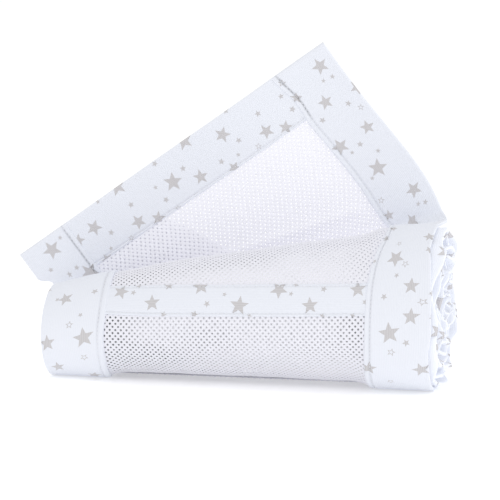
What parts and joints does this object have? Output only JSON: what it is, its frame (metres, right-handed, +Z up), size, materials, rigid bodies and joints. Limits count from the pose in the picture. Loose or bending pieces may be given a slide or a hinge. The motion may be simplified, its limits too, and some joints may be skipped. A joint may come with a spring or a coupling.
{
  "type": "crib bumper",
  "caption": "Rolled mesh crib bumper strip with star-printed fabric bands, its free end folded up diagonally behind the roll.",
  "frame": {"origin": "middle of the bounding box's underside, on the surface that the roll rests on", "axes": "+X along the roll to its thicker end, +Y from the roll's front to its back, +Z up"},
  "size_m": [0.2911, 0.106, 0.2146],
  "materials": {
    "printed_band": "matt ribbed cotton, white with a scattered light grey star print",
    "open_mesh": "matt white knitted mesh with even holes of about 2 mm",
    "rolled_cloth": "matt white mesh and printed cotton, rolled up"
  },
  "bodies": {
    "root": {"roll_core": "rolled_cloth", "mesh_window_lower": "open_mesh", "mesh_window_flap": "open_mesh", "cross_band": "printed_band", "side_band_left": "printed_band", "side_band_right": "printed_band", "end_band": "printed_band"}
  },
  "joints": []
}
